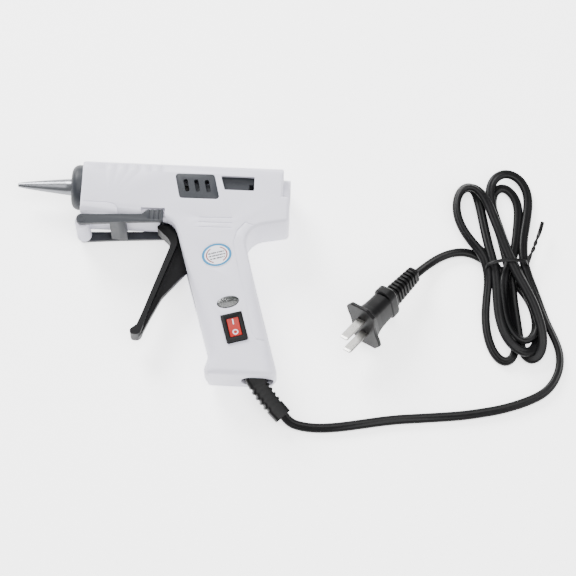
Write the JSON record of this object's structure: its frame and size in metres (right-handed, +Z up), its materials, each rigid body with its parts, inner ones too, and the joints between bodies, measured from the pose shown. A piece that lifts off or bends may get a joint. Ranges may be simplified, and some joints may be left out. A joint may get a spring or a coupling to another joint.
{
  "type": "glue gun",
  "caption": "Corded hot-glue gun lying on its side: two-part housing, zinc nozzle, feed trigger, fold-out stand, rocker switch, tied flat cord with a two-blade plug.",
  "frame": {"origin": "under the middle of the gun without its cord, on the surface it lies on", "axes": "+X from the nozzle to the back of the barrel, +Y from the handle's base to the barrel's top, +Z up out of the left side"},
  "size_m": [0.3763, 0.1921, 0.0414],
  "materials": {
    "white_shell": "satin cool white moulding",
    "slate_plastic": "satin slate grey moulding",
    "black_plastic": "fine satin black",
    "cord_rubber": "soft black, slight sheen",
    "red_key": "satin red",
    "zinc": "bright cast and turned zinc",
    "aluminium": "as cast",
    "steel": "zinc-plated",
    "brass": "bare",
    "silicone": "red-brown silicone",
    "fibre": "fibre board",
    "ceramic": "bare",
    "clear_lens": "clear smoke-grey lens",
    "sticker": "printed film",
    "wire_cover": "blue cover",
    "tin": "bright tin"
  },
  "bodies": {
    "gun": {"clamp_screw_1": "steel", "clamp_screw_2": "steel", "cord_clamp": "fibre", "cord_core": "cord_rubber", "cord_hank": "cord_rubber", "cord_lead": "cord_rubber", "cord_tail": "cord_rubber", "front_collar": "slate_plastic", "front_insulator": "fibre", "heater": "ceramic", "heater_clamp": "steel", "housing_screw_1": "steel", "housing_screw_2": "steel", "housing_screw_3": "steel", "housing_screw_4": "steel", "housing_screw_5": "steel", "housing_screw_6": "steel", "indicator_lamp": "clear_lens", "indicator_lens": "clear_lens", "inlet_sleeve": "silicone", "left_housing": "white_shell", "melt_chamber": "aluminium", "nozzle": "zinc", "plug_blade_1": "tin", "plug_blade_2": "tin", "plug_body": "cord_rubber", "rating_label": "sticker", "rear_insulator": "fibre", "right_housing": "white_shell", "sleeve_ring": "steel", "strain_relief": "cord_rubber", "switch_body": "black_plastic", "switch_terminal_1": "brass", "switch_terminal_2": "brass", "trigger_pin": "steel", "trigger_spring": "steel", "twist_tie": "cord_rubber", "valve_spring": "steel", "vent_panel_left": "slate_plastic", "vent_panel_right": "slate_plastic", "wire_live": "wire_cover", "wire_neutral": "wire_cover", "wire_switched": "wire_cover"},
    "trigger": {"trigger": "black_plastic"},
    "carriage": {"feed_carriage": "slate_plastic", "jaw_pin": "steel"},
    "jaw": {"grip_jaw": "steel"},
    "stand": {"stand": "slate_plastic"},
    "rocker": {"switch_rocker": "red_key"},
    "ball": {"valve_ball": "steel"}
  },
  "joints": [
    {"name": "trigger_pull", "type": "hinge", "parent": "gun", "child": "trigger", "pos_m": [0.0198, 0.0385, 0.018], "axis": [0, 0, 1], "range_deg": [0, 23], "stiffness_Nm_per_rad": 0.5},
    {"name": "carriage_feed", "type": "slide", "parent": "gun", "child": "carriage", "axis": [-1, 0, 0], "range_m": [0, 0.0073]},
    {"name": "jaw_grip", "type": "hinge", "parent": "carriage", "child": "jaw", "pos_m": [0.0588, 0.048, 0.018], "axis": [0, 0, -1], "range_deg": [0, 6]},
    {"name": "stand_fold", "type": "hinge", "parent": "gun", "child": "stand", "pos_m": [-0.0464, 0.0296, 0.018], "axis": [0, 0, -1], "range_deg": [0, 100]},
    {"name": "switch_rock", "type": "hinge", "parent": "gun", "child": "rocker", "pos_m": [0.0605, -0.0432, 0.03341], "axis": [-0.9598, -0.2807, 0], "range_deg": [0, 16]},
    {"name": "valve_lift", "type": "slide", "parent": "gun", "child": "ball", "axis": [-1, 0, 0], "range_m": [0, 0.0012], "stiffness_N_per_m": 200}
  ],
  "couplings": [
    {"joint": "carriage_feed", "follows": "trigger_pull", "m_per_rad": 0.01788},
    {"joint": "jaw_grip", "follows": "trigger_pull", "ratio": 0.24}
  ]
}
